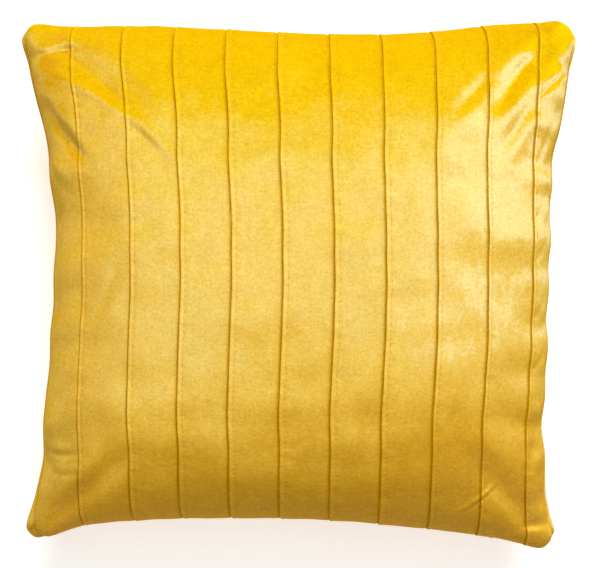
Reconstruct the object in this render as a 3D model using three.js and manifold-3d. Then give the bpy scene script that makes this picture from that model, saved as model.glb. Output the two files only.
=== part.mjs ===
// A square velvet throw pillow with pin tucks down its front, lying on its back.
// Millimetres. +Z is up, through the thickness; +X is the pillow's width and +Y its height,
// with the zip in the -Y edge. The origin is under the middle, on the surface it lies on.
import * as THREE from 'three';
import { mergeVertices } from 'three/addons/utils/BufferGeometryUtils.js';
import Module from 'manifold-3d';

const wasm = await Module();
wasm.setup();

// ---- driving dimensions ----

const SEAM_HEIGHT = 60;          // the edge seam's height above the surface it lies on
const FRONT_CROWN = 54;          // how far the front swells above its turned edge
const BACK_CROWN = 58;           // the same for the back, before it is pressed flat
const CROWN_POWER = 2.6;         // how square the swell is in plan
const CROWN_ROUNDNESS = 0.4;     // how blunt it is at the edge
const EDGE_LIFT = 4;             // each panel turns into the seam over this height
const GROOVE = 3;                // the seam lies this far inside the widest outline

const CLOTH = 2;                 // velvet with its backing
const CASING = 1;                // the insert's plain cloth
const SEAM_GAP = 0.4;            // between the two cloths at a closed seam
const LAYER_GAP = 2;             // between cover and insert
const FILLING_GAP = 1;           // between casing and filling
const INSERT_SIDE_INSET = 11;
const INSERT_ZIP_INSET = 19;     // the insert stops short of the zip's tapes
const INSERT_LIFT = 1;
const INSERT_THREAD_GAP = 1.4;   // its seam thread runs this far outside its edge

const TUCKS = 10;
const TUCK_WIDTH = 4.4;          // from the fold's free edge to its stitching
const TUCK_HEIGHT = 1.6;
const FOLD_RISE = 0.4;           // width of the fold's steep free edge
const TUCK_SHIFT = 2.1;          // the tucks sit this far towards +X of an even spacing
const TUCK_DRIFT = 9;            // and lean this much further at the bottom edge
const THREAD = 0.6;
const THREAD_GAP = 0.35;
const EDGE_THREAD_GAP = 0.8;
const STRIP_STEPS = [0, 0.12, 0.35, 0.65];      // columns of the first strip, as shares of it
const LAST_STRIP_STEPS = [0.4, 0.67, 0.88, 1];
const STRIP_MIDDLE = 0.55;       // where every other strip has its one column
const FRONT_ROWS = 20;
const BACK_STEPS = 16;
const MEASURE_STEPS = 90;        // straight lengths that a row of the front is measured by
const EDGE_STEPS = 18;           // straight lengths of the cover's edge thread on each side
const INSERT_STEPS = 10;         // the same for the insert's
const ZIP_END = 0.86;            // the edge thread stops here, as a share of half the width

const ZIP_RADIUS = 1274;         // the bottom edge bows in along a circle of this radius
const ZIP_CENTRE = new THREE.Vector2(-50, -1460.2);
const ZIP_POINTS = 11;           // the arc's points in the bottom edge
const ZIP_REACH = 165;           // the zip's opening ends this far to each side
const ZIP_MARGIN = 5;            // between the opening's ends and what stands beside them
const LIP_MARGIN = 9;            // lips this far outside the zip's circle still part along it
const SLIT = 1.8;                // opening between the cover's lips along the zip
const COIL = [6.7, 8.2];         // inner and outer distance from the widest outline
const COIL_HEIGHT = 1.35;
const COIL_GAP = 0.15;           // from the middle of the seam to each coil
const TAPE = [8.5, 16];
const TAPE_THICKNESS = 0.6;
const TAPE_GAP = 0.3;            // from the middle of the seam to each tape
const TAPE_OVERRUN = 3;          // the tapes run this far past the opening
const ZIP_STITCH = 13;           // the stitching's distance from the widest outline
const STOP_LENGTH = 2.5;
const STOP_GAP = 0.4;            // between the coils' ends and the stops
const SLIDER_LENGTH = 9;
const SLIDER_REST = 153;         // the closed slider's place along X
const PULL_LENGTH = 22;
const PULL_WIDTH = 6;
const PULL_PIN = 1.2;            // the pull's pivot, inwards from the widest outline

const LABEL = [[168, 186], [-197, -190.5], [-0.25, 0.25]];   // in the seam past the zip

const MUSTARD = 0xe0b23a;
const THREAD_GOLD = 0xc8952a;
const CALICO = 0xf2efe6;
const ZIP_BROWN = 0xb08a35;
const ZIP_METAL = 0xb9975a;

const half = (length) => length / 2;

// ---- the outline: four edges that meet at rounded corners ----

const bottomLeft = [-213.5, -193];
const bottomRight = [200.5, -204];
const topLeft = [-217.5, 201];
const topRight = [216.5, 199.5];

const leftEdge = edge([
  bottomLeft, [-215, -183], [-211, -164], [-206, -145], [-203, -108], [-198.5, -51],
  [-194.5, 0], [-195, 54], [-200, 99], [-203, 130], [-211, 153], [-216, 173], [-219.5, 192],
  topLeft,
]);
const rightEdge = edge([
  bottomRight, [201.5, -194], [197.5, -165], [195, -137], [195, -100], [198.5, -51],
  [199.5, -5], [200.5, 44], [202.5, 91], [208, 127], [213.5, 159], [218, 176], [219.5, 189],
  topRight,
]);
const topEdge = edge([
  topLeft, [-210, 204], [-186, 205], [-123, 206], [-59, 203.5], [4, 200], [68, 199.5],
  [100, 201], [132, 204.5], [163, 208], [195, 207.5], [209.5, 205], topRight,
]);
const bottomEdge = edge([
  bottomLeft, [-207, -198], [-197.5, -199], [-186, -196.5],
  ...zipArcPoints(ZIP_POINTS),
  [179, -206.5], [193.5, -208], bottomRight,
]);

const WIDTH = topEdge.getLength();
const HEIGHT = leftEdge.getLength();

function edge(points) {
  const corners = points.map(([x, y]) => new THREE.Vector3(x, y, 0));
  return new THREE.CatmullRomCurve3(corners, false, 'centripetal');
}

function zipAngle(x) {
  return Math.acos((x - ZIP_CENTRE.x) / ZIP_RADIUS);
}

function zipArcPoints(count) {
  const points = [];
  for (let i = 0; i <= count; i += 1) {
    const x = THREE.MathUtils.lerp(-ZIP_REACH, ZIP_REACH, i / count);
    points.push([x, ZIP_CENTRE.y + ZIP_RADIUS * Math.sin(zipAngle(x))]);
  }
  return points;
}

// A point of the pillow's plan: s runs from the left edge to the right, t from the bottom
// edge to the top, both from 0 to 1. The four edges are blended across it.
function plan(s, t) {
  return new THREE.Vector3()
    .addScaledVector(bottomEdge.getPointAt(s), 1 - t)
    .addScaledVector(topEdge.getPointAt(s), t)
    .addScaledVector(leftEdge.getPointAt(t), 1 - s)
    .addScaledVector(rightEdge.getPointAt(t), s)
    .addScaledVector(bottomEdge.getPointAt(0), -(1 - s) * (1 - t))
    .addScaledVector(bottomEdge.getPointAt(1), -s * (1 - t))
    .addScaledVector(topEdge.getPointAt(0), -(1 - s) * t)
    .addScaledVector(topEdge.getPointAt(1), -s * t);
}

// The plan with its edges moved in; u and v run from -1 to 1.
function insetPlan(inset, u, v) {
  const side = inset.sides / WIDTH;
  const s = THREE.MathUtils.lerp(side, 1 - side, half(u + 1));
  const t = THREE.MathUtils.lerp(inset.bottom / HEIGHT, 1 - inset.top / HEIGHT, half(v + 1));
  return plan(s, t);
}

function evenInset(amount) {
  return { sides: amount, bottom: amount, top: amount };
}

function widened(inset, amount) {
  return {
    sides: inset.sides + amount,
    bottom: inset.bottom + amount,
    top: inset.top + amount,
  };
}

// ---- curved layers ----

function swell(u) {
  return (1 - Math.abs(u) ** CROWN_POWER) ** CROWN_ROUNDNESS;
}

// A layer is one curved face of a panel. side is 1 above the seam and -1 below it, and a
// layer below the seam is pressed flat where it would pass its lowest level.
function layerPoint(layer, u, v) {
  const point = insetPlan(layer.inset, u, v);
  const rise = layer.lift + layer.crown * swell(u) * swell(v);
  point.z = Math.max(SEAM_HEIGHT + layer.side * rise, layer.lowest);
  return point;
}

function thinned(layer, thickness) {
  return {
    ...layer,
    inset: widened(layer.inset, thickness),
    crown: layer.crown - thickness,
    lowest: layer.lowest + thickness,
  };
}

// The front hangs over the seam at top and bottom, and the back bulges past it at the sides.
const frontFace = {
  side: 1,
  lift: EDGE_LIFT,
  crown: FRONT_CROWN,
  lowest: 0,
  inset: { sides: GROOVE, bottom: 0, top: 0 },
};
const backFace = {
  side: -1,
  lift: EDGE_LIFT,
  crown: BACK_CROWN,
  lowest: 0,
  inset: { sides: 0, bottom: GROOVE, top: GROOVE },
};
const insertInset = {
  sides: INSERT_SIDE_INSET,
  bottom: INSERT_ZIP_INSET,
  top: INSERT_SIDE_INSET,
};

function insertFace(coverFace) {
  return {
    side: coverFace.side,
    lift: INSERT_LIFT,
    crown: coverFace.crown + EDGE_LIFT - INSERT_LIFT - CLOTH - LAYER_GAP,
    lowest: CLOTH + LAYER_GAP,
    inset: insertInset,
  };
}

function fillingFace(casingFace) {
  const depth = CASING + FILLING_GAP;
  return {
    side: casingFace.side,
    lift: 0,
    crown: casingFace.crown + INSERT_LIFT - depth,
    lowest: casingFace.lowest + depth,
    inset: widened(insertInset, depth),
  };
}

// ---- closed meshes from grids and rings of points ----

// Steps from -1 to 1 that crowd towards both ends, where the swell is steep.
function crowded(count) {
  const steps = [];
  for (let i = 0; i <= count; i += 1) steps.push(Math.sin(Math.PI * (i / count - 0.5)));
  return steps;
}

// A net is the rows of [u, v] places at which a panel's faces are worked out.
function plainNet(count) {
  return crowded(count).map((v) => crowded(count).map((u) => [u, v]));
}

// The items round a net's border, anticlockwise from its first corner.
function border(rows) {
  const last = rows.length - 1;
  return [
    ...rows[0].slice(0, -1),
    ...rows.slice(0, -1).map((row) => row.at(-1)),
    ...rows[last].slice(1).reverse(),
    ...rows.slice(1).reverse().map((row) => row[0]),
  ];
}

function pushTriangle(positions, corners, flipped) {
  const [a, b, c] = flipped ? [corners[0], corners[2], corners[1]] : corners;
  for (const corner of [a, b, c]) positions.push(corner.x, corner.y, corner.z);
}

function pushGrid(positions, rows, flipped) {
  for (let j = 0; j + 1 < rows.length; j += 1) {
    for (let i = 0; i + 1 < rows[0].length; i += 1) {
      const [a, b] = [rows[j][i], rows[j][i + 1]];
      const [d, c] = [rows[j + 1][i], rows[j + 1][i + 1]];
      pushTriangle(positions, [a, b, c], flipped);
      pushTriangle(positions, [a, c, d], flipped);
    }
  }
}

// Walls from each closed ring of points to the next. They face out when the rings run
// anticlockwise and each lies above the next.
function pushRings(positions, rings, flipped) {
  for (let k = 0; k + 1 < rings.length; k += 1) {
    const [upper, lower] = [rings[k], rings[k + 1]];
    for (let i = 0; i < upper.length; i += 1) {
      const j = (i + 1) % upper.length;
      pushTriangle(positions, [upper[i], lower[i], lower[j]], flipped);
      pushTriangle(positions, [upper[i], lower[j], upper[j]], flipped);
    }
  }
}

function closedGeometry(positions) {
  const geometry = new THREE.BufferGeometry();
  geometry.setAttribute('position', new THREE.Float32BufferAttribute(positions, 3));
  const merged = mergeVertices(geometry, 1e-4);
  merged.computeVertexNormals();
  return merged;
}

// ---- the panels ----

// The cover's lips part along the zip, and are a seam's gap apart everywhere else.
function lipGap(point) {
  const besideZip = Math.abs(point.x) < ZIP_REACH + ZIP_MARGIN && point.y < 0;
  const distance = Math.hypot(point.x - ZIP_CENTRE.x, point.y - ZIP_CENTRE.y);
  return besideZip && distance < ZIP_RADIUS + LIP_MARGIN ? SLIT : SEAM_GAP;
}

const seamGap = () => SEAM_GAP;

function seamRing(net, side, inset, gapAt) {
  return border(net).map(([u, v]) => {
    const point = insetPlan(inset, u, v);
    point.z = SEAM_HEIGHT + side * half(gapAt(point));
    return point;
  });
}

// A panel is its outer face, its inner face, and the rim that turns into the seam.
function panel(face, thickness, net, rimInset, gapAt, raise = (rows) => rows) {
  const facePoints = (layer) => net.map((row) => row.map(([u, v]) => layerPoint(layer, u, v)));
  const outer = raise(facePoints(face));
  const inner = facePoints(thinned(face, thickness));
  const outerRim = seamRing(net, face.side, rimInset, gapAt);
  const innerRim = seamRing(net, face.side, widened(rimInset, thickness), gapAt);
  const below = face.side < 0;
  const positions = [];
  pushGrid(positions, outer, below);
  pushGrid(positions, inner, !below);
  pushRings(positions, [border(outer), outerRim, innerRim, border(inner)], below);
  return closedGeometry(positions);
}

function filling(upperFace, lowerFace, net) {
  const positions = [];
  for (const face of [upperFace, lowerFace]) {
    pushGrid(positions, net.map((row) => row.map(([u, v]) => layerPoint(face, u, v))),
      face.side < 0);
  }
  return closedGeometry(positions);
}

// ---- the tucks ----

const STRIP = 1 / (TUCKS + 1);

// Across the cloth: the strips' plain columns and, at each tuck, the fold's base, its free
// edge and its stitched side. part is a share of the cloth's width, offset is in millimetres.
function frontColumns() {
  const columns = STRIP_STEPS.map((share) => plainColumn(share * STRIP));
  for (let tuck = 1; tuck <= TUCKS; tuck += 1) {
    const part = tuck * STRIP;
    columns.push({ part, offset: 0, rise: 0, tuck });
    columns.push({ part, offset: FOLD_RISE, rise: TUCK_HEIGHT, tuck });
    columns.push({ part, offset: TUCK_WIDTH, rise: 0, tuck });
    if (tuck < TUCKS) columns.push(plainColumn(part + STRIP_MIDDLE * STRIP));
  }
  return columns.concat(LAST_STRIP_STEPS.map((share) => plainColumn((TUCKS + share) * STRIP)));
}

function plainColumn(part) {
  return { part, offset: 0, rise: 0, tuck: 0 };
}

// Gives the u of a place on the front, from its distance over the cloth along row v.
function clothMeasure(v) {
  const steps = crowded(MEASURE_STEPS);
  const lengths = [0];
  let previous = layerPoint(frontFace, steps[0], v);
  for (const u of steps.slice(1)) {
    const point = layerPoint(frontFace, u, v);
    lengths.push(lengths.at(-1) + point.distanceTo(previous));
    previous = point;
  }
  const total = lengths.at(-1);
  return (part, offset) => {
    const wanted = THREE.MathUtils.clamp(part * total + offset, 0, total);
    const next = Math.max(1, lengths.findIndex((length) => length >= wanted));
    const share = (wanted - lengths[next - 1]) / (lengths[next] - lengths[next - 1]);
    return THREE.MathUtils.lerp(steps[next - 1], steps[next], share);
  };
}

// The tucks lean towards +X on their way down, and the cloth's two side edges stay put.
function lean(column, v) {
  const middle = Math.min(1, 8 * Math.min(column.part, 1 - column.part));
  return (TUCK_SHIFT + TUCK_DRIFT * half(1 - v) ** 2) * middle;
}

const frontRows = crowded(FRONT_ROWS);
const columns = frontColumns();
const measures = frontRows.map(clothMeasure);
const frontNet = frontRows.map((v, j) => columns.map(
  (column) => [measures[j](column.part, column.offset + lean(column, v)), v],
));

// The outward direction at a point of a grid, from its neighbours.
function normalAt(rows, j, i) {
  const [low, high] = [rows[Math.max(j - 1, 0)], rows[Math.min(j + 1, rows.length - 1)]];
  const [left, right] = [Math.max(i - 1, 0), Math.min(i + 1, rows[0].length - 1)];
  const across = rows[j][right].clone().sub(rows[j][left]);
  return across.cross(high[i].clone().sub(low[i])).normalize();
}

// Lifts the folds off the front, except in the rows that turn into the seams.
function raiseTucks(rows) {
  return rows.map((row, j) => row.map((point, i) => {
    const rise = j === 0 || j === rows.length - 1 ? 0 : columns[i].rise;
    return point.clone().addScaledVector(normalAt(rows, j, i), rise);
  }));
}

// ---- threads and other bars along a line of points ----

// A bar of rectangular section. ups holds the direction of its height at each point.
function bar(points, ups, width, height, closed = false) {
  const count = points.length;
  const rings = points.map((point, i) => {
    const before = points[closed ? (i + count - 1) % count : Math.max(i - 1, 0)];
    const after = points[closed ? (i + 1) % count : Math.min(i + 1, count - 1)];
    const along = after.clone().sub(before).normalize();
    const side = along.cross(ups[i]).normalize().multiplyScalar(half(width));
    const up = ups[i].clone().multiplyScalar(half(height));
    return [[1, 1], [-1, 1], [-1, -1], [1, -1]].map(
      ([a, b]) => point.clone().addScaledVector(side, a).addScaledVector(up, b),
    );
  });
  const positions = [];
  if (closed) {
    pushRings(positions, [...rings, rings[0]], false);
  } else {
    pushRings(positions, rings, false);
    pushGrid(positions, [[rings[0][0], rings[0][1]], [rings[0][3], rings[0][2]]], false);
    const last = rings[count - 1];
    pushGrid(positions, [[last[0], last[1]], [last[3], last[2]]], true);
  }
  return closedGeometry(positions);
}

function tuckThread(tuck) {
  const points = [];
  const ups = [];
  const surface = frontNet.map((row) => row.map(([u, v]) => layerPoint(frontFace, u, v)));
  const column = columns.findIndex((item) => item.tuck === tuck && item.offset === TUCK_WIDTH);
  for (let j = 1; j + 1 < frontRows.length; j += 1) {
    const beside = surface[j][column + 1].clone().sub(surface[j][column]).setLength(THREAD);
    const up = normalAt(surface, j, column);
    const height = THREAD_GAP + half(THREAD);
    points.push(surface[j][column].clone().add(beside).addScaledVector(up, height));
    ups.push(up);
  }
  return bar(points, ups, THREAD, THREAD);
}

// A thread in the seam's plane that runs round the edge, from one end of the zip to the
// other or all the way.
function edgeThread(inset, count, zipEnd) {
  const steps = crowded(count);
  const inner = steps.slice(1, -1);
  const places = [
    ...steps.map((v) => [1, v]),
    ...inner.map((u) => [-u, 1]),
    ...steps.map((v) => [-1, -v]),
  ];
  if (zipEnd === null) {
    places.push(...inner.map((u) => [u, -1]));
  } else {
    places.unshift([zipEnd, -1]);
    places.push([-zipEnd, -1]);
  }
  const points = places.map(([u, v]) => insetPlan(inset, u, v).setZ(SEAM_HEIGHT));
  const ups = points.map(() => new THREE.Vector3(0, 0, 1));
  return bar(points, ups, THREAD, THREAD, zipEnd === null);
}

// ---- the zip, along its circle ----

// A flat bar along the zip. The reach is its ends along X, the band its distances inwards
// from the widest outline, and the levels its lowest and highest height from the seam.
function zipBar(reach, band, levels) {
  const [from, to] = [zipAngle(reach[1]), zipAngle(reach[0])];
  const [near, far] = band.map((distance) => ZIP_RADIUS + distance);
  const outline = new THREE.Shape();
  outline.absarc(0, 0, far, from, to, false);
  outline.absarc(0, 0, near, to, from, true);
  const geometry = new THREE.ExtrudeGeometry(outline, {
    depth: levels[1] - levels[0],
    bevelEnabled: false,
    curveSegments: Math.max(1, Math.round((reach[1] - reach[0]) / 30)),
  });
  geometry.translate(ZIP_CENTRE.x, ZIP_CENTRE.y, SEAM_HEIGHT + levels[0]);
  return geometry;
}

function above(side, low, high) {
  return side > 0 ? [low, high] : [-high, -low];
}

// ---- slider and pull, in their own frame: x along the zip, y inwards, z up ----

function solid(geometry) {
  const bare = geometry.clone();
  bare.deleteAttribute('normal');
  bare.deleteAttribute('uv');
  const merged = mergeVertices(bare, 1e-5);
  return new wasm.Manifold(new wasm.Mesh({
    numProp: 3,
    vertProperties: new Float32Array(merged.attributes.position.array),
    triVerts: new Uint32Array(merged.index.array),
  }));
}

function joined(geometries) {
  const whole = geometries.map(solid).reduce((sum, piece) => sum.add(piece));
  const mesh = whole.getMesh();
  const geometry = new THREE.BufferGeometry();
  geometry.setAttribute('position', new THREE.BufferAttribute(mesh.vertProperties, 3));
  geometry.setIndex(new THREE.BufferAttribute(mesh.triVerts, 1));
  geometry.computeVertexNormals();
  return geometry;
}

function box(xs, ys, zs) {
  const geometry = new THREE.BoxGeometry(xs[1] - xs[0], ys[1] - ys[0], zs[1] - zs[0]);
  return geometry.translate(half(xs[0] + xs[1]), half(ys[0] + ys[1]), half(zs[0] + zs[1]));
}

// Stands a shape drawn in y and z on its edge, and makes it as long as asked along x.
function alongX(shape, length) {
  const geometry = new THREE.ExtrudeGeometry(shape, {
    depth: length,
    bevelEnabled: false,
    curveSegments: 6,
  });
  const turn = new THREE.Matrix4().makeBasis(
    new THREE.Vector3(0, 1, 0),
    new THREE.Vector3(0, 0, 1),
    new THREE.Vector3(1, 0, 0),
  );
  return geometry.applyMatrix4(turn).translate(-half(length), 0, 0);
}

const slider = {
  front: 5.5, web: 0.8, back: 10, plate: [1.9, 2.6],
  armHeight: 1, armWidth: 0.6, armPlace: 1.8,
  pinRadius: 0.4,
};

function sliderGeometry() {
  const ends = [-half(SLIDER_LENGTH), half(SLIDER_LENGTH)];
  const [low, high] = slider.plate;
  const pieces = [
    box(ends, [slider.front, slider.front + slider.web], [-high, high]),
    box(ends, [slider.front, slider.back], [low, high]),
    box(ends, [slider.front, slider.back], [-high, -low]),
  ];
  const reach = slider.armPlace + half(slider.armWidth);
  for (const side of [-1, 1]) {
    const middle = side * slider.armPlace;
    pieces.push(box(
      [middle - half(slider.armWidth), middle + half(slider.armWidth)],
      [PULL_PIN - half(slider.armHeight), slider.front + half(slider.web)],
      [-half(slider.armHeight), half(slider.armHeight)],
    ));
  }
  const pin = new THREE.CylinderGeometry(slider.pinRadius, slider.pinRadius, 2 * reach, 10);
  pieces.push(pin.rotateZ(half(Math.PI)).translate(0, PULL_PIN, 0));
  return joined(pieces);
}

const pull = { eyeOuter: 1.1, eyeInner: 0.7, eyeWidth: 2.2, thickness: 1, holeRadius: 1.6 };

// The pull hangs from an eye round the slider's pin, and widens below it to a rounded tab.
function pullGeometry() {
  const eye = new THREE.Shape();
  eye.absarc(PULL_PIN, 0, pull.eyeOuter, 0, 2 * Math.PI, false);
  const opening = new THREE.Path();
  opening.absarc(PULL_PIN, 0, pull.eyeInner, 0, 2 * Math.PI, true);
  eye.holes.push(opening);

  const bottom = half(PULL_WIDTH) - PULL_LENGTH;
  const shoulder = -pull.eyeOuter - 2;
  const tab = new THREE.Shape();
  tab.moveTo(half(pull.eyeWidth), -pull.eyeInner - 0.1);
  tab.lineTo(-half(pull.eyeWidth), -pull.eyeInner - 0.1);
  tab.lineTo(-half(PULL_WIDTH), shoulder);
  tab.lineTo(-half(PULL_WIDTH), bottom);
  tab.absarc(0, bottom, half(PULL_WIDTH), Math.PI, 2 * Math.PI, false);
  tab.lineTo(half(PULL_WIDTH), shoulder);
  const hole = new THREE.Path();
  hole.absarc(0, bottom, pull.holeRadius, 0, 2 * Math.PI, true);
  tab.holes.push(hole);
  const plate = new THREE.ExtrudeGeometry(tab, {
    depth: pull.thickness,
    bevelEnabled: false,
    curveSegments: 8,
  });
  plate.rotateX(half(Math.PI)).translate(0, PULL_PIN + half(pull.thickness), 0);
  return joined([alongX(eye, pull.eyeWidth), plate]);
}

// ---- the assembly ----

const pillow = new THREE.Group();

const velvet = new THREE.MeshStandardMaterial({ color: MUSTARD, roughness: 0.9 });
const thread = new THREE.MeshStandardMaterial({ color: THREAD_GOLD, roughness: 0.7 });
const calico = new THREE.MeshStandardMaterial({ color: CALICO, roughness: 0.95 });
const zipCloth = new THREE.MeshStandardMaterial({ color: ZIP_BROWN, roughness: 0.8 });
const metal = new THREE.MeshStandardMaterial({
  color: ZIP_METAL,
  roughness: 0.35,
  metalness: 1,
});

function add(name, geometry, material, parent = pillow) {
  const mesh = new THREE.Mesh(geometry, material);
  mesh.name = name;
  parent.add(mesh);
}

function addCover() {
  const rimInset = evenInset(GROOVE);
  add('front_panel', panel(frontFace, CLOTH, frontNet, rimInset, lipGap, raiseTucks), velvet);
  add('back_panel', panel(backFace, CLOTH, plainNet(BACK_STEPS), rimInset, lipGap), velvet);
  for (let tuck = 1; tuck <= TUCKS; tuck += 1) {
    add(`tuck_thread_${String(tuck).padStart(2, '0')}`, tuckThread(tuck), thread);
  }
  const inside = GROOVE + CLOTH + EDGE_THREAD_GAP + half(THREAD);
  add('edge_seam_thread', edgeThread(evenInset(inside), EDGE_STEPS, ZIP_END), thread);
  add('care_label', box(...LABEL).translate(0, 0, SEAM_HEIGHT), calico);
}

function addZip() {
  const coilEnd = ZIP_REACH - ZIP_MARGIN;
  const tapeEnd = ZIP_REACH + TAPE_OVERRUN;
  const stop = [coilEnd + STOP_GAP, coilEnd + STOP_GAP + STOP_LENGTH];
  for (const [name, side] of [['front', 1], ['back', -1]]) {
    const coilLevels = above(side, COIL_GAP, COIL_GAP + COIL_HEIGHT);
    const tapeLevels = above(side, TAPE_GAP, TAPE_GAP + TAPE_THICKNESS);
    const stitchLow = TAPE_GAP + TAPE_THICKNESS + THREAD_GAP;
    const stitchLevels = above(side, stitchLow, stitchLow + THREAD);
    add(`zipper_coil_${name}`, zipBar([-coilEnd, coilEnd], COIL, coilLevels), zipCloth);
    add(`zipper_tape_${name}`, zipBar([-tapeEnd, tapeEnd], TAPE, tapeLevels), zipCloth);
    add(`zipper_stitching_${name}`,
      zipBar([-ZIP_REACH, ZIP_REACH], [ZIP_STITCH, ZIP_STITCH + THREAD], stitchLevels), thread);
    add(`zipper_top_stop_${name}`, zipBar(stop, COIL, coilLevels), metal);
  }
  const bothCoils = [-COIL_HEIGHT, COIL_HEIGHT];
  add('zipper_bottom_stop', zipBar([-stop[1], -stop[0]], COIL, bothCoils), metal);

  const carriage = new THREE.Group();
  const angle = zipAngle(SLIDER_REST);
  carriage.position.set(
    ZIP_CENTRE.x + ZIP_RADIUS * Math.cos(angle),
    ZIP_CENTRE.y + ZIP_RADIUS * Math.sin(angle),
    SEAM_HEIGHT,
  );
  carriage.rotation.z = angle - half(Math.PI);
  pillow.add(carriage);
  add('zipper_slider', sliderGeometry(), metal, carriage);
  add('zipper_pull', pullGeometry(), metal, carriage);
}

function addInsert() {
  const net = plainNet(INSERT_STEPS);
  const [upper, lower] = [frontFace, backFace].map(insertFace);
  add('insert_casing_front', panel(upper, CASING, net, insertInset, seamGap), calico);
  add('insert_casing_back', panel(lower, CASING, net, insertInset, seamGap), calico);
  const outside = widened(insertInset, -INSERT_THREAD_GAP);
  add('insert_seam_thread', edgeThread(outside, INSERT_STEPS, null), calico);
  add('insert_filling', filling(fillingFace(upper), fillingFace(lower), net), calico);
}

addCover();
addZip();
addInsert();

export default pillow;
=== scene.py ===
"""A square velvet throw pillow with pin tucks, lying on its back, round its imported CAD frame.

Metres throughout. The outline, the seam's height and the tucks' places are read from the frame.
Each panel of the cover is a flat sheet of cloth with its edge held in the seam, blown up by
Blender's cloth simulation, then drawn finely with its tucks, creases and stitches.
"""

import math

import bmesh
import bpy
import numpy as np
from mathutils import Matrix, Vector
from mathutils.bvhtree import BVHTree


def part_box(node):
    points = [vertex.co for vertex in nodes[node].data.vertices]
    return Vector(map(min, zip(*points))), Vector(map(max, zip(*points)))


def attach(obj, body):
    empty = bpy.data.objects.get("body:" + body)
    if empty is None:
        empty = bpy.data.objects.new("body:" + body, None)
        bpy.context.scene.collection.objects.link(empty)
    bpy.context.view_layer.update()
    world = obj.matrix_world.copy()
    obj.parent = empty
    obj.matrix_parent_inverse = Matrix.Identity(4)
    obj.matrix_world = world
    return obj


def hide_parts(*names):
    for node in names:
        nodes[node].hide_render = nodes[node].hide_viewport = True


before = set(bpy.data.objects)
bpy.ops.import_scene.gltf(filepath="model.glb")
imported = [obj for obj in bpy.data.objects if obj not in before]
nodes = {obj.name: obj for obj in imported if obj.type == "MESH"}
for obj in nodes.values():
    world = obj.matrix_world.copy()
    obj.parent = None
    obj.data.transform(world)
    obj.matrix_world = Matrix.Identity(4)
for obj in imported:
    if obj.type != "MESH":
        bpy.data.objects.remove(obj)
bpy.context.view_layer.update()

MM = 0.001
CLOTH_SIZE = 0.45                # each panel's flat cut between its seams
CLOTH_CELLS = 96                 # the cloth simulation's squares along each side
CLOTH_FRAMES = 40
CLOTH_SETTINGS = {
    "quality": 6, "mass": 0.0006, "use_pressure": True, "uniform_pressure_force": 4.0,
    "tension_stiffness": 15, "compression_stiffness": 15, "shear_stiffness": 4.5,
    "bending_stiffness": 4, "tension_damping": 5, "compression_damping": 5, "shear_damping": 5,
    "bending_damping": 0.5, "air_damping": 1,
}
CLOTH_CROWDING = 0.45            # how much its squares crowd towards the seam at the start
RELAX_ROUNDS = 10
PILE_THICKNESS = 2.4 * MM

TUCKS = 10
TUCK_SHIFT = 0.3 * MM            # the pile's weight leans each tuck a little to the right
TUCK_STITCHES = 100
ROWS_PER_STITCH = 3
FRONT_ROWS = TUCK_STITCHES * ROWS_PER_STITCH + 1
FRONT_CROWDING = 0.2             # how much the front's rows crowd towards the seam
STRIP_COLUMNS = 9
STRIP_CROWDING = 1.7             # how much closer the outer strips' columns are near the seam
BACK_CELLS = 190
BACK_CROWDING = 0.35
LINING_CELLS = 40
LINING_MARGIN = 0.012            # how far inside the seam the lining starts, from 0 to 1

SEAM_GAP = 0.4 * MM
ZIP_SLIT = 1.8 * MM
RIM_DEPTH = 2.6 * MM             # how far a panel's edge turns in at the seam
STITCH_PITCH = 3.9 * MM
SEAM_THREAD_RADIUS = 0.3 * MM
TUCK_THREAD_RADIUS = 0.24 * MM
SEAM_THREAD_INSET = 1.2 * MM     # how far inside the outline the seam's stitches run
INSERT_THREAD_OUTSET = 0.6 * MM  # how far outside its own outline the insert's run
SIDE_RISE = 5 * MM               # how far the seam runs up at the middle of each side
TOP_DIP = 3 * MM                 # how far it runs down at the middle of the top
CORNER_ROUNDING = 10 * MM
SEAM_WANDER = 1.2 * MM
RING_POINTS = 1440
EDGE_POINTS = 500
WAVE_COUNT = 14
GATHER_REACH = 8 * MM            # the seam holds the cloth still over about this distance

# Where the seam lies away from its CAD place, in millimetres: at a point, by how much, over
# what reach.
SEAM_SHIFTS = (
    ((-212, -188), (5.0, 0.5), 24),
    ((-214, 150), (-1.0, 0.0), 24),
    ((216, 150), (2.2, 0.0), 24),
)

SEAM_Z = (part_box("front_panel")[0].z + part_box("back_panel")[1].z) / 2
ZIP_LOW, ZIP_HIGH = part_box("zipper_stitching_front")


def waves(x, y, length, seed):
    """A smooth random height between about -1 and 1, with lumps of about this length."""
    source = np.random.default_rng(seed)
    total = np.zeros_like(x)
    for _ in range(WAVE_COUNT):
        angle = source.uniform(0, 2 * np.pi)
        rate = 2 * np.pi / length * source.uniform(0.6, 1.5)
        phase = source.uniform(0, 2 * np.pi)
        total += np.sin(rate * (x * np.cos(angle) + y * np.sin(angle)) + phase)
    return total / math.sqrt(WAVE_COUNT)


# ---- the outline, read from the CAD panels ----

def seam_ring():
    """Points round the seam, anticlockwise, where rays from outside meet the front's edge."""
    tree = BVHTree.FromObject(nodes["front_panel"], bpy.context.evaluated_depsgraph_get())
    level = SEAM_Z + 1.1 * MM
    points = []
    for i in range(RING_POINTS):
        angle = 2 * math.pi * i / RING_POINTS
        out = Vector((math.cos(angle), math.sin(angle), 0))
        hit = tree.ray_cast(Vector((out.x, out.y, level)), -out)[0]
        points.append((hit.x, hit.y))
    return np.array(points)


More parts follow.
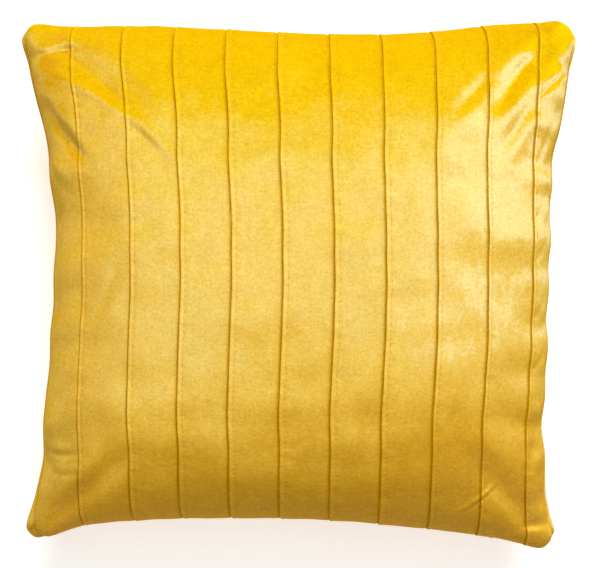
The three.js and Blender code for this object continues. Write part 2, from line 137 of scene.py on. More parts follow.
def resample(points, count):
    """The same line as points, as count points that are evenly spaced."""
    steps = np.linalg.norm(np.diff(points, axis=0), axis=1)
    along = np.concatenate([[0], np.cumsum(steps)])
    wanted = np.linspace(0, along[-1], count)
    return np.stack([np.interp(wanted, along, points[:, k]) for k in range(points.shape[1])], 1)


def settled_ring(ring):
    """The seam as it was sewn: round at the corners, wandering a little along the sides."""
    ring = resample(np.concatenate([ring, ring[:1]]), RING_POINTS + 1)[:-1]
    spacing = np.linalg.norm(ring[1] - ring[0])
    span = RING_POINTS // 36     # the points in ten degrees
    offsets = np.arange(-span, span + 1)
    weights = np.exp(-0.5 * (offsets * spacing / CORNER_ROUNDING) ** 2)
    weights /= weights.sum()
    rounded = sum(w * np.roll(ring, -k, axis=0) for k, w in zip(offsets, weights))
    x, y = rounded[:, 0], rounded[:, 1]
    at_side = np.clip((np.abs(x) - np.abs(y)) / (60 * MM), 0, 1)
    moved = rounded.copy()
    moved[:, 0] += SEAM_WANDER * at_side * waves(x, y, 55 * MM, seed=5)
    for (near_x, near_y), (shift_x, shift_y), reach in SEAM_SHIFTS:
        near = np.exp(-((x - near_x * MM) ** 2 + (y - near_y * MM) ** 2) / (reach * MM) ** 2)
        moved[:, 0] += shift_x * MM * near
        moved[:, 1] += shift_y * MM * near
    return moved


def split_edges(ring):
    """The ring's four edges, left and right from the bottom up, top and bottom from the left."""
    def corner(x_sign, y_sign):
        return int(np.argmax(ring[:, 0] * x_sign + ring[:, 1] * y_sign))

    def run(first, last):
        last = last if last > first else last + len(ring)
        return resample(ring[np.arange(first, last + 1) % len(ring)], EDGE_POINTS)

    low_left, low_right = corner(-1, -1), corner(1, -1)
    high_left, high_right = corner(-1, 1), corner(1, 1)
    return {
        "bottom": run(low_left, low_right),
        "right": run(low_right, high_right),
        "top": run(high_right, high_left)[::-1],
        "left": run(high_left, low_left)[::-1],
    }


EDGES = split_edges(settled_ring(seam_ring()))


def along_edge(name, share):
    edge = EDGES[name]
    places = np.linspace(0, 1, len(edge))
    return np.stack([np.interp(share, places, edge[:, k]) for k in range(2)], -1)


def plan(s, t):
    """A place in the pillow's plan, from 0 to 1 across and from 0 to 1 up, between its edges."""
    across, up = s[..., None], t[..., None]
    edges = (
        (1 - up) * along_edge("bottom", s) + up * along_edge("top", s)
        + (1 - across) * along_edge("left", t) + across * along_edge("right", t)
    )
    bottom, top = EDGES["bottom"], EDGES["top"]
    corners = (
        (1 - up) * ((1 - across) * bottom[0] + across * bottom[-1])
        + up * ((1 - across) * top[0] + across * top[-1])
    )
    return edges - corners


def seam_height(s, t):
    """How far the seam runs above or below its CAD level: up at the sides, down at the top."""
    at_sides = np.sin(np.pi * t) ** 0.6 * (np.abs(2 * s - 1) > 0.999)
    at_top = np.sin(np.pi * s) ** 0.6 * (t > 0.999)
    return SIDE_RISE * at_sides - TOP_DIP * at_top


# ---- the cloth simulation ----

def swell(u):
    return (1 - np.abs(u) ** 2.6).clip(0) ** 0.4


def crowded(count, crowding):
    """Places from 0 to 1, even where crowding is 0, and else closer together at both ends."""
    even = np.linspace(0, 1, count)
    return (1 - crowding) * even + crowding * (0.5 - 0.5 * np.cos(np.pi * even))


def start_shape(side):
    """The panel's first guess: its plan, blown up by the formula of its CAD solid."""
    places = crowded(CLOTH_CELLS + 1, CLOTH_CROWDING)
    s, t = np.meshgrid(places, places)
    node = "front_panel" if side > 0 else "back_panel"
    low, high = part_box(node)
    crown = (high.z - low.z) * 0.95
    z = SEAM_Z + side * crown * swell(2 * s - 1) * swell(2 * t - 1)
    z += seam_height(s, t)
    return np.concatenate([plan(s, t), z[..., None]], axis=2)


def grid_faces(rows, columns, flipped=False):
    corner = np.arange(rows * columns).reshape(rows, columns)
    faces = np.stack(
        [corner[:-1, :-1], corner[:-1, 1:], corner[1:, 1:], corner[1:, :-1]], -1
    ).reshape(-1, 4)
    return faces[:, ::-1] if flipped else faces


def linked(name, data):
    """A new object in the scene that holds this mesh, lamp or camera."""
    made = bpy.data.objects.new(name, data)
    bpy.context.scene.collection.objects.link(made)
    return made


def mesh_object(name, points, faces):
    mesh = bpy.data.meshes.new(name)
    mesh.from_pydata(points.reshape(-1, 3).tolist(), [], [tuple(f) for f in faces])
    mesh.update()
    return linked(name, mesh)


def smoothed(piece):
    faces = piece.data.polygons
    faces.foreach_set("use_smooth", [True] * len(faces))
    return piece


def smooth_piece(name, shell):
    """A piece with smooth shading from a bmesh, which it uses up."""
    mesh = bpy.data.meshes.new(name)
    shell.to_mesh(mesh)
    shell.free()
    return smoothed(linked(name, mesh))


def blow_up(side):
    """Simulates one panel of cloth and returns its points, as rows from the bottom up."""
    start = start_shape(side)
    size = CLOTH_CELLS + 1
    piece = mesh_object("cloth", start, grid_faces(size, size, side < 0))
    even = np.linspace(-CLOTH_SIZE / 2, CLOTH_SIZE / 2, size)
    flat = np.stack([*np.meshgrid(even, even), np.full((size, size), SEAM_Z)], -1)
    piece.shape_key_add(name="Basis")
    cut = piece.shape_key_add(name="cut")
    cut.data.foreach_set("co", flat.ravel().astype(np.float32))
    index = np.arange(size ** 2).reshape(size, size)
    held = np.concatenate([index[0], index[-1], index[1:-1, 0], index[1:-1, -1]])
    piece.vertex_groups.new(name="held").add(held.tolist(), 1.0, "REPLACE")

    cloth = piece.modifiers.new("cloth", "CLOTH")
    settings = cloth.settings
    for name, value in CLOTH_SETTINGS.items():
        setattr(settings, name, value)
    settings.effector_weights.gravity = 0
    settings.vertex_group_mass = "held"
    settings.rest_shape_key = cut
    cloth.collision_settings.use_collision = False
    cloth.point_cache.frame_start = 1
    cloth.point_cache.frame_end = CLOTH_FRAMES + 1
    for step in range(1, CLOTH_FRAMES + 1):
        bpy.context.scene.frame_set(step)
    settled = piece.evaluated_get(bpy.context.evaluated_depsgraph_get()).data
    points = np.zeros(3 * len(settled.vertices), np.float32)
    settled.vertices.foreach_get("co", points)
    bpy.data.objects.remove(piece)
    bpy.context.scene.frame_set(1)
    return relaxed(points.reshape(size, size, 3).astype(float))


def relaxed(points):
    """The same sheet with its sharpest folds eased, and its edge where it was."""
    for _ in range(RELAX_ROUNDS):
        middle = points[1:-1, 1:-1]
        beside = points[:-2, 1:-1] + points[2:, 1:-1] + points[1:-1, :-2] + points[1:-1, 2:]
        points[1:-1, 1:-1] = 0.5 * middle + 0.125 * beside
    return points


# ---- finer points from the simulated grid ----

def spline_weights(places, count):
    """A matrix that reads a smooth curve through count even points at the given places."""
    position = np.clip(places, 0, 1) * (count - 1)
    first = np.minimum(position.astype(int), count - 2)
    f = position - first
    weights = np.zeros((len(places), count))
    parts = (
        (-0.5 * f + f ** 2 - 0.5 * f ** 3),
        (1 - 2.5 * f ** 2 + 1.5 * f ** 3),
        (0.5 * f + 2 * f ** 2 - 1.5 * f ** 3),
        (-0.5 * f ** 2 + 0.5 * f ** 3),
    )
    for offset, part in enumerate(parts):
        column = np.clip(first + offset - 1, 0, count - 1)
        np.add.at(weights, (np.arange(len(places)), column), part)
    return weights


def read_rows(points, up):
    """Whole rows of the grid at the heights up, each as wide as the grid."""
    return np.einsum("rk,kcx->rcx", spline_weights(up, points.shape[0]), points)


def read_at(points, across, up):
    """Points at the places across[row, column] in the rows at the heights up."""
    rows = read_rows(points, up)
    return np.stack([spline_weights(a, points.shape[1]) @ row for a, row in zip(across, rows)])


def read_square(points, places):
    """Points at the same places across as up, and how far across each of them is."""
    across = np.repeat(places[None], len(places), axis=0)
    return read_at(points, across, places), across


def normals_of(grid, side=1):
    across = np.gradient(grid, axis=1)
    upward = np.gradient(grid, axis=0)
    normal = np.cross(across, upward)
    length = np.linalg.norm(normal, axis=2, keepdims=True)
    return side * normal / np.maximum(length, 1e-12)


# ---- shape that the simulation leaves out ----

# How far each panel's cloth rolls outwards past the seam, along each edge of the pillow.
FRONT_ROLL = {"left": 1.6 * MM, "right": 1.6 * MM, "bottom": 5.6 * MM, "top": 4.6 * MM}
BACK_ROLL = {"left": 5.6 * MM, "right": 5.8 * MM, "bottom": 0.4 * MM, "top": 0.6 * MM}
ROLL_START = 3 * MM              # the roll grows to its full size over about this distance
ROLL_REACH = 45 * MM             # and fades away over this one
CORNER_PUFF = 13 * MM
PUFF_REACH = 28 * MM
PUFF_TIP = 18 * MM               # the corner's own tip, which the filling doesn't reach
BACK_PUFF_EXTRA = 1.2            # the back stands out where the seam's bottom left runs in
OUTWARD = {"left": (-1, 0), "right": (1, 0), "bottom": (0, -1), "top": (0, 1)}


def roll_out(grid, across, up, rolls, extra=0.0):
    """Rolls the cloth outwards past the seam and puffs its corners, the bottom left one by
    extra more."""
    far = {"left": across, "right": 1 - across, "bottom": up, "top": 1 - up}
    moved = grid.copy()
    for name, roll in rolls.items():
        distance = far[name] * CLOTH_SIZE
        shift = roll * (1 - np.exp(-distance / ROLL_START)) * np.exp(-distance / ROLL_REACH)
        moved[..., 0] += OUTWARD[name][0] * shift
        moved[..., 1] += OUTWARD[name][1] * shift
    for side, end in (("left", "bottom"), ("right", "bottom"), ("left", "top"), ("right", "top")):
        distance = np.hypot(far[side], far[end]) * CLOTH_SIZE
        puff = CORNER_PUFF * np.exp(-(distance / PUFF_REACH) ** 2)
        puff *= 1 - np.exp(-(distance / PUFF_TIP) ** 2)
        puff *= 1 - np.exp(-np.minimum(far[side], far[end]) * CLOTH_SIZE / ROLL_START)
        if (side, end) == ("left", "bottom"):
            puff *= 1 + extra
        moved[..., 0] += OUTWARD[side][0] * puff
        moved[..., 1] += OUTWARD[end][1] * puff
    return moved


class Crease:
    """A fold pressed into the cloth along a bent line, all in millimetres of plan, and the rise
    beside it as a share of its depth. Below 0, the depth is a height."""

    STEPS = 25

    def __init__(self, start, middle, end, depth, width, ridge=0.5):
        steps = np.linspace(0, 1, self.STEPS)[:, None]
        first, second, third = (np.array(p) * MM for p in (start, middle, end))
        bend = 2 * second - (first + third) / 2
        self.line = (1 - steps) ** 2 * first + 2 * steps * (1 - steps) * bend + steps ** 2 * third
        self.depth = depth * MM
        self.width = width * MM
        self.ridge = ridge

    def height(self, x, y):
        reach = 5 * self.width
        low, high = self.line.min(0) - reach, self.line.max(0) + reach
        near = (x > low[0]) & (x < high[0]) & (y > low[1]) & (y < high[1])
        raised = np.zeros_like(x)
        if not near.any():
            return raised
        place = np.stack([x[near], y[near]], 1)
        gap = place[:, None, :] - self.line[None]
        nearest = np.argmin((gap ** 2).sum(2), axis=1)
        tangent = np.gradient(self.line, axis=0)
        tangent /= np.linalg.norm(tangent, axis=1, keepdims=True)
        offset = gap[np.arange(len(place)), nearest]
        beside = tangent[nearest, 0] * offset[:, 1] - tangent[nearest, 1] * offset[:, 0]
        past = (offset * tangent[nearest]).sum(1)
        share = nearest / (len(self.line) - 1)
        fade = np.sin(np.pi * np.clip(share, 0.02, 0.98)) ** 0.7
        fade *= np.exp(-(past / (2 * self.width)) ** 2)
        valley = -np.exp(-(beside / self.width) ** 2)
        shoulder = self.ridge * np.exp(-((beside - 1.7 * self.width) / (1.3 * self.width)) ** 2)
        raised[near] = self.depth * fade * (valley + shoulder)
        return raised


FRONT_CREASES = (
    # the long fold from the left edge across the first strip, and the ridge above it
    Crease((-202, 146), (-187, 122), (-164, 94), 2.9, 4.2, 0.4),
    Crease((-208, 170), (-155, 146), (-102, 104), -1.6, 4.5, 0.4),
    Crease((-158, 160), (-132, 130), (-100, 88), 0.9, 5.0, 0.8),
    Crease((-200, 108), (-194, 90), (-182, 72), 1.0, 3.0, 0.6),
    # slack in the second strip, in a shallow V
    Crease((-139, 18), (-149, -8), (-165, -37), 0.7, 5.0),
    Crease((-172, 4), (-168, -16), (-164, -37), 0.5, 4.0),
    # the deep fold under the top right corner, and the pull lines that run from it
    Crease((214, 172), (203, 160), (186, 145), 1.2, 2.2, 0.2),
    Crease((181, 178), (170, 160), (154, 130), 1.5, 5.5, 0.9),
    Crease((181, 140), (170, 122), (156, 98), 1.3, 5.0, 0.9),
    Crease((150, 165), (138, 150), (118, 128), 1.2, 6.0, 0.8),
    Crease((204, 134), (195, 112), (188, 92), 1.0, 2.2, 0.7),
    # short pulls along the right side
    Crease((199, 80), (192, 62), (186, 50), 0.5, 2.6),
    Crease((198, 40), (191, 26), (185, 16), 0.5, 2.6),
    Crease((197, -6), (190, -20), (184, -28), 0.6, 2.8),
    Crease((196, -52), (189, -62), (182, -68), 0.5, 2.8),
    # the dimple and the thin curved crease inside the bottom right corner
    Crease((184, -122), (183, -136), (181, -150), 1.5, 4.2),
    Crease((110, -183), (139, -172), (166, -144), 0.5, 1.3, 1.2),
    Crease((200, -190), (186, -190), (172, -194), 1.0, 3.5),
    # upright folds inside the bottom left corner, and two soft ones across the strip
    Crease((-193, -118), (-194, -148), (-197, -176), 1.3, 2.2, 0.7),
    Crease((-185, -150), (-186, -168), (-189, -188), 1.1, 2.4, 0.7),
    Crease((-197, -130), (-186, -134), (-172, -132), 0.7, 2.6),
    Crease((-194, -146), (-184, -150), (-168, -147), 0.6, 3.0),
    # the top left corner's gather
    Crease((-208, 180), (-192, 183), (-172, 186), 1.2, 3.0),
)


PUCKER_LENGTH = 26 * MM
PUCKER_START = 4 * MM            # the gathers grow over about this distance from the seam
PUCKER_REACH = 22 * MM           # and fade away over this one


def side_puckers(across, up, depth):
    """Small gathers that the seam's stitching pulls into the cloth, square to each edge."""
    edges = ((across, up), (1 - across, up), (up, across), (1 - up, across))
    total = np.zeros_like(across)
    for number, (far, along) in enumerate(edges):
        reach = far * CLOTH_SIZE
        bend = 0.3 * far * CLOTH_SIZE
        pattern = waves(along * CLOTH_SIZE, bend, PUCKER_LENGTH, seed=40 + number)
        fade = np.exp(-reach / PUCKER_REACH)
        total += depth * pattern * fade * (1 - np.exp(-reach / PUCKER_START))
    return total


def from_seam(across, up):
    """The distance to the nearest part of the seam, measured along the cloth."""
    return np.minimum.reduce([across, 1 - across, up, 1 - up]) * CLOTH_SIZE


# ---- the front panel's tucks ----

# Across one tuck, from the strip on its left to the strip on its right: the distance from the
# stitching and the height over the cloth, in millimetres, and the painted light, from 1 for
# painted shade in the groove to -1 for a painted highlight on the ridge. The fold lies to the
# left and its free edge stands over a groove. The stitching sits in a dip, and the cloth rises
# softly on its right.
TUCK_PROFILE = (
    (-11.0, 0.0, 0.0), (-8.5, -0.05, 0.04), (-7.2, -0.15, 0.10), (-6.2, -0.3, 0.2),
    (-5.4, -0.6, 0.4), (-4.8, -1.0, 0.8), (-4.3, -1.4, 1.0), (-3.95, -1.6, 1.0),
    (-3.65, -1.4, 1.0), (-3.6, -0.8, 1.0), (-3.6, -0.2, 1.0), (-3.5, 0.25, 0.3),
    (-3.2, 0.55, -0.8), (-2.7, 0.75, -1.0), (-2.0, 0.75, -1.0), (-1.3, 0.55, -0.6),
    (-0.6, 0.25, 0.0), (0.0, 0.0, 0.16), (0.7, 0.1, 0.06), (1.7, 0.22, 0.0), (3.5, 0.12, 0.0),
)
STITCH_COLUMN = 17               # the column of TUCK_PROFILE that carries the thread
TUCK_GROUPS = 24                 # how many points a tuck's line is read from
SMOOTH_ROWS = 25                 # how many rows a tuck's place is averaged over
DIMPLE_DEPTH = 0.22 * MM
DIMPLE_SHIFT = 0.4 * MM          # how far right of the stitching the dimples lie
DIMPLE_WIDTH = 0.8 * MM
RIPPLE_HEIGHT = 0.16 * MM
RIPPLE_LENGTH = 11 * MM
RIPPLE_REACH = 5 * MM
SEAM_SHADOW = 0.8
SEAM_SHADOW_WIDTH = 1.4 * MM


def tuck_line(number):
    """The X and Y of a tuck's stitching, from the CAD thread in it."""
    points = np.array([v.co for v in nodes[f"tuck_thread_{number:02d}"].data.vertices])
    groups = np.array_split(points[np.argsort(points[:, 1])], TUCK_GROUPS)
    middle = np.array([group.mean(axis=0) for group in groups])
    return middle[:, 0] + TUCK_SHIFT, middle[:, 1]


def tuck_places(grid, up):
    """Where each tuck's stitching lies across the cloth in each row, from 0 to 1."""
    rows = read_rows(grid, up)
    even = np.linspace(0, 1, grid.shape[1])
    places = np.zeros((len(up), TUCKS))
    for number in range(TUCKS):
        line_x, line_y = tuck_line(number + 1)
        for j, row in enumerate(rows):
            y = np.interp((number + 1) / (TUCKS + 1), even, row[:, 1])
            places[j, number] = np.interp(np.interp(y, line_y, line_x), row[:, 0], even)
    weights = np.hanning(SMOOTH_ROWS) / np.hanning(SMOOTH_ROWS).sum()
    padded = np.pad(places, ((SMOOTH_ROWS // 2, SMOOTH_ROWS // 2), (0, 0)), mode="edge")
    return np.stack([np.convolve(padded[:, k], weights, "valid") for k in range(TUCKS)], 1)


def front_columns(places):
    """Each column's place across the cloth in each row, and its height, its painted shade (a
    painted highlight below 0) and its tuck.
    """
    rows = len(places)
    walls = np.concatenate([np.zeros((rows, 1)), places, np.ones((rows, 1))], axis=1)
    left_reach = -TUCK_PROFILE[0][0] * MM / CLOTH_SIZE
    right_reach = TUCK_PROFILE[-1][0] * MM / CLOTH_SIZE
    across, heights, painted_light_tones, tuck_of = [], [], [], []
    for strip in range(TUCKS + 1):
        first = walls[:, strip] + (right_reach if strip > 0 else 0)
        last = walls[:, strip + 1] - (left_reach if strip < TUCKS else 0)
        inner = np.linspace(0, 1, STRIP_COLUMNS + 2)
        if strip == 0:
            inner = inner[:-1] ** STRIP_CROWDING
        elif strip == TUCKS:
            inner = 1 - (1 - inner[1:]) ** STRIP_CROWDING
        else:
            inner = inner[1:-1]
        for share in inner:
            across.append(first + share * (last - first))
            heights.append(0.0)
            painted_light_tones.append(0.0)
            tuck_of.append(0)
        if strip < TUCKS:
            for offset, height, painted_light_tone in TUCK_PROFILE:
                across.append(walls[:, strip + 1] + offset * MM / CLOTH_SIZE)
                heights.append(height * MM)
                painted_light_tones.append(painted_light_tone)
                tuck_of.append(strip + 1)
    return np.stack(across, 1), np.array(heights), np.array(painted_light_tones), np.array(tuck_of)


def nap_and_painted_light_of(normals, painted_light_tone):
    """What the velvet's nap and its painted sheen and shade follow: how far the cloth turns right
    and up, and its painted shade, above 0 where it is darker and below 0 where it is a painted
    highlight."""
    nap_and_painted_light = normals.copy()
    nap_and_painted_light[..., 2] = painted_light_tone
    return nap_and_painted_light


# Where the velvet's painted sheen and shade are moved: the place in millimetres, how much further
# up the pillow the cloth is then taken to face, and over what reach.
SHEEN_AND_SHADE_SHIFTS = (
    ((196, 196), 0.3, 34), ((-192, 160), 0.2, 18), ((200, 128), 0.15, 30),
    ((-2, 164), -0.1, 11), ((-10, 184), -0.1, 9), ((172, 176), -0.08, 12),
    ((194, -60), -0.12, 30), ((194, -125), -0.24, 34), ((198, -184), -0.5, 28),
    ((130, -136), -0.26, 40), ((64, -122), -0.05, 40), ((-196, 128), 0.2, 14),
    ((-190, -182), -0.32, 28), ((-190, -100), -0.05, 44), ((194, -142), -0.1, 20),
)


def sheen_and_shade_shift(x, y):
    """How much further up the pillow the cloth at each place is taken to face, for its painted
    sheen and shade.
    """
    return sum(
        amount * np.exp(-((x - at_x * MM) ** 2 + (y - at_y * MM) ** 2) / (reach * MM) ** 2)
        for (at_x, at_y), amount, reach in SHEEN_AND_SHADE_SHIFTS
    )


def seam_shadow(across):
    """The painted shadow, a dark line, that the seam casts up the left and right sides."""
    distance = np.minimum(across, 1 - across) * CLOTH_SIZE
    return SEAM_SHADOW * np.exp(-(distance / SEAM_SHADOW_WIDTH) ** 2)


def front_grid(cloth):
    """The front's fine points, their nap and painted light, the smooth normals, and each column's
    tuck.
    """
    up = crowded(FRONT_ROWS, FRONT_CROWDING)
    places = tuck_places(cloth, up)
    across, heights, painted_light_tones, tuck_of = front_columns(places)
    upward = np.repeat(up[:, None], across.shape[1], axis=1)
    base = roll_out(read_at(cloth, across, up), across, upward, FRONT_ROLL)
    relief = soft_relief(base[..., 0], base[..., 1], across, upward)

    # a tuck's own columns double back, so normals come from the columns in their true order
    order = np.argsort(across, axis=1, kind="stable")

    def smooth_normals(points):
        ordered = np.take_along_axis(points, order[..., None], axis=1)
        found = np.zeros_like(points)
        np.put_along_axis(found, order[..., None].repeat(3, 2), normals_of(ordered), axis=1)
        return found

    normals = smooth_normals(base)
    edge = np.minimum(upward, 1 - upward) * CLOTH_SIZE
    sewn_in = 0.2 + 0.8 * (1 - np.exp(-edge / (12 * MM)))
    lively = 1 + 0.14 * waves(base[..., 0], base[..., 1], 35 * MM, seed=3) * (tuck_of > 0)
    lift = relief + heights[None] * sewn_in * lively
    lift += stitch_puckers(base[..., 1], across, places)
    lift += stitch_dimples(across, places)
    # the cloth's turn, for painted sheen and shade, and the painted shade of grooves and seam
    nap_and_painted_light = nap_and_painted_light_of(smooth_normals(base + relief[..., None] * normals), painted_light_tones[None])
    nap_and_painted_light[..., 1] += sheen_and_shade_shift(base[..., 0], base[..., 1])
    nap_and_painted_light[..., 2] += seam_shadow(across)
    return base + lift[..., None] * normals, nap_and_painted_light, normals, tuck_of


def soft_relief(x, y, across, upward):
    """The lumps of the filling, the gathers at the seams and the creases."""
    settled = 1 - np.exp(-from_seam(across, upward) / GATHER_REACH)
    relief = 0.5 * MM * waves(x, y, 120 * MM, seed=11) + 0.3 * MM * waves(x, y, 45 * MM, seed=12)
    relief += side_puckers(across, upward, 0.9 * MM)
    for crease in FRONT_CREASES:
        relief += crease.height(x, y)
    return relief * settled


def stitch_dimples(across, places):
    """A dimple at every stitch hole."""
    holes = (np.arange(len(across)) % ROWS_PER_STITCH == 0)[:, None]
    total = np.zeros_like(across)
    for number in range(TUCKS):
        distance = (across - places[:, number:number + 1]) * CLOTH_SIZE
        dimple = np.exp(-((distance - DIMPLE_SHIFT) / DIMPLE_WIDTH) ** 2)
        total -= DIMPLE_DEPTH * dimple * holes
    return total


def stitch_puckers(y, across, places):
    """Fine ripples that fan out from each line of stitching."""
    total = np.zeros_like(across)
    for number in range(TUCKS):
        distance = (across - places[:, number:number + 1]) * CLOTH_SIZE
        ripple = waves(y + 0.35 * distance, distance * 0.2, RIPPLE_LENGTH, seed=60 + number)
        total += RIPPLE_HEIGHT * ripple * np.exp(-np.abs(distance) / RIPPLE_REACH)
    return total


# ---- closed panels ----

def border_indices(rows, columns):
    """The places of a grid's outermost points in its flat list, anticlockwise."""
    grid = np.arange(rows * columns).reshape(rows, columns)
    return np.concatenate([grid[0, :-1], grid[:-1, -1], grid[-1, :0:-1], grid[:0:-1, 0]])


def lip_gap(points):
    """Half the gap between the two panels' edges: wide along the zip, tight elsewhere."""
    beside = (points[:, 0] > ZIP_LOW.x) & (points[:, 0] < ZIP_HIGH.x)
    low = points[:, 1] < ZIP_HIGH.y
    return np.where(beside & low, ZIP_SLIT, SEAM_GAP) / 2


def inward(points, distance):
    """Points moved towards the middle of the plan, square to the loop that they make."""
    along = np.roll(points, -1, axis=0) - np.roll(points, 1, axis=0)
    square = np.stack([-along[:, 1], along[:, 0]], 1)
    square /= np.linalg.norm(square, axis=1, keepdims=True)
    moved = points.copy()
    moved[:, :2] += square * distance
    return moved


def closed_panel(name, grid, nap_and_painted_light, cloth, side):
    """A panel with its outside, its edge turned in at the seam, and its plainer inside."""
    rows, columns = grid.shape[:2]
    rim = border_indices(rows, columns)
    flat = grid.reshape(-1, 3).copy()
    flat[rim, 2] += side * lip_gap(flat[rim])
    turned = inward(flat[rim], RIM_DEPTH)

    even = np.linspace(LINING_MARGIN, 1 - LINING_MARGIN, LINING_CELLS + 1)
    outside, _ = read_square(cloth, even)
    inside = outside - PILE_THICKNESS * normals_of(outside, side)
    inside[..., 2] = side * np.maximum(side * (inside[..., 2] - SEAM_Z), SEAM_GAP) + SEAM_Z

    shell = bmesh.new()
    verts = [shell.verts.new(p) for p in flat]
    for face in grid_faces(rows, columns, side < 0):
        shell.faces.new([verts[i] for i in face])
    lips = [shell.verts.new(p) for p in turned]
    count = len(rim)
    for i in range(count):
        j = (i + 1) % count
        corners = [verts[rim[j]], verts[rim[i]], lips[i], lips[j]]
        shell.faces.new(corners if side > 0 else corners[::-1])
    lining = [shell.verts.new(p) for p in inside.reshape(-1, 3)]
    for face in grid_faces(LINING_CELLS + 1, LINING_CELLS + 1, side > 0):
        shell.faces.new([lining[i] for i in face])
    inner = [lining[i] for i in border_indices(LINING_CELLS + 1, LINING_CELLS + 1)]
    join_loops(shell, lips, inner, side > 0)

    piece = smooth_piece(name, shell)
    laid = np.zeros((len(piece.data.vertices), 3), np.float32)
    laid[:len(flat)] = nap_and_painted_light.reshape(-1, 3)
    laid[len(flat):len(flat) + count] = nap_and_painted_light.reshape(-1, 3)[rim]
    layer = piece.data.attributes.new("nap_and_painted_light", "FLOAT_VECTOR", "POINT")
    layer.data.foreach_set("vector", laid.ravel())
    return piece


def join_loops(shell, outer, inner, flipped):
    """Triangles between two loops of different counts, matched by their length along."""
    def shares(loop):
        points = np.array([v.co for v in loop] + [loop[0].co])
        along = np.concatenate([[0], np.cumsum(np.linalg.norm(np.diff(points, axis=0), axis=1))])
        return along / along[-1]

    a, b = shares(outer), shares(inner)
    i = j = 0
    while i < len(outer) or j < len(inner):
        here, there = outer[i % len(outer)], inner[j % len(inner)]
        if j >= len(inner) or (i < len(outer) and a[i + 1] <= b[j + 1]):
            corners = [here, there, outer[(i + 1) % len(outer)]]
            i += 1
        else:
            corners = [here, there, inner[(j + 1) % len(inner)]]
            j += 1
        shell.faces.new(corners[::-1] if flipped else corners)


# ---- the parts of the cover ----

def back_grid(cloth):
    """The back's fine points, with their lumps and gathers, and their nap and painted seam
    shadow.
    """
    grid, across = read_square(cloth, crowded(BACK_CELLS + 1, BACK_CROWDING))
    upward = across.T
    base = roll_out(grid, across, upward, BACK_ROLL, BACK_PUFF_EXTRA)
    x, y = base[..., 0], base[..., 1]
    relief = 0.6 * MM * waves(x, y, 110 * MM, seed=21) + side_puckers(across, upward, 1.2 * MM)
    relief *= 1 - np.exp(-from_seam(across, upward) / GATHER_REACH)
    points = base + relief[..., None] * normals_of(base, -1)
    nap_and_painted_light = nap_and_painted_light_of(normals_of(points, -1), seam_shadow(across))
    return points, nap_and_painted_light


def rest_on_floor(points):
    """Eases what would sink below the floor up to it, without a hard line round the edge."""
    ease = 1.2 * MM
    rested = points.copy()
    rested[..., 2] = ease * np.logaddexp(0, points[..., 2] / ease)
    return rested


# ---- stitches ----

# Along one stitch: the share of its length, and its width and its rise out of the cloth, both
# in radii of the thread.
BEAD_PROFILE = (
    (0.0, 0.35, -0.8), (0.18, 0.85, 0.35), (0.5, 1.0, 0.9), (0.82, 0.85, 0.35), (1.0, 0.35, -0.8),
)
BEAD_SIDES = 6


def bead_mesh(name, starts, ends, outward, radius):
    """Short stitches from starts to ends, each a bent bead that dips in at both ends."""
    shell = bmesh.new()
    for start, end, up in zip(starts, ends, outward):
        along = (end - start) / max(np.linalg.norm(end - start), 1e-9)
        beside = np.cross(along, up)
        beside /= max(np.linalg.norm(beside), 1e-9)
        loops = []
        for share, width, rise in BEAD_PROFILE:
            centre = start + share * (end - start) + rise * radius * up
            loop = []
            for k in range(BEAD_SIDES):
                turn = 2 * math.pi * k / BEAD_SIDES
                offset = math.cos(turn) * beside + math.sin(turn) * up
                loop.append(shell.verts.new(centre + radius * width * offset))
            loops.append(loop)
        for low, high in zip(loops, loops[1:]):
            for k in range(BEAD_SIDES):
                j = (k + 1) % BEAD_SIDES
                shell.faces.new([low[k], low[j], high[j], high[k]])
        shell.faces.new(loops[0][::-1])
        shell.faces.new(loops[-1])
    bmesh.ops.recalc_face_normals(shell, faces=shell.faces)
    return smooth_piece(name, shell)


def tuck_stitches(number, grid, normals, tuck_of):
    """The stitching beside one tuck, whose ends sit in the dimples that it pulls."""
    column = int(np.flatnonzero(tuck_of == number)[STITCH_COLUMN])
    line, normal = grid[:, column], normals[:, column]
    holes = np.arange(2 * ROWS_PER_STITCH, FRONT_ROWS - 2 * ROWS_PER_STITCH, ROWS_PER_STITCH)
    starts, ends = line[holes[:-1]], line[holes[1:]]
    middle = normal[(holes[:-1] + holes[1:]) // 2]
    gap = 0.12 * (ends - starts)
    name = f"tuck_stitching_{number:02d}"
    return bead_mesh(name, starts + gap, ends - gap, middle, TUCK_THREAD_RADIUS)


def seam_line():
    """The seam's middle all the way round, anticlockwise."""
    even = np.linspace(0, 1, EDGE_POINTS)
    none, whole = np.zeros(EDGE_POINTS), np.ones(EDGE_POINTS)
    edges = ((even, none), (whole, even), (even[::-1], whole), (none, even[::-1]))
    heights = [SEAM_Z + seam_height(s, t) for s, t in edges]
    return np.concatenate([
        np.column_stack([plan(s, t), height])[:-1] for (s, t), height in zip(edges, heights)
    ])


def seam_stitches(name, line, skip_zip=False):
    """Stitches that run round a seam, end to end, facing outwards."""
    closed = np.concatenate([line, line[:1]])
    length = np.linalg.norm(np.diff(closed, axis=0), axis=1).sum()
    places = resample(closed, int(length / STITCH_PITCH) + 1)
    starts, ends = places[:-1], places[1:]
    if skip_zip:
        beside = (starts[:, 0] > ZIP_LOW.x) & (starts[:, 0] < ZIP_HIGH.x) & (starts[:, 1] < 0)
        starts, ends = starts[~beside], ends[~beside]
    along = ends - starts
    outward = np.column_stack([along[:, 1], -along[:, 0], np.zeros(len(along))])
    outward /= np.linalg.norm(outward, axis=1, keepdims=True)
    gap = 0.1 * along
    return bead_mesh(name, starts + gap, ends - gap, outward, SEAM_THREAD_RADIUS)


# ---- the insert ----

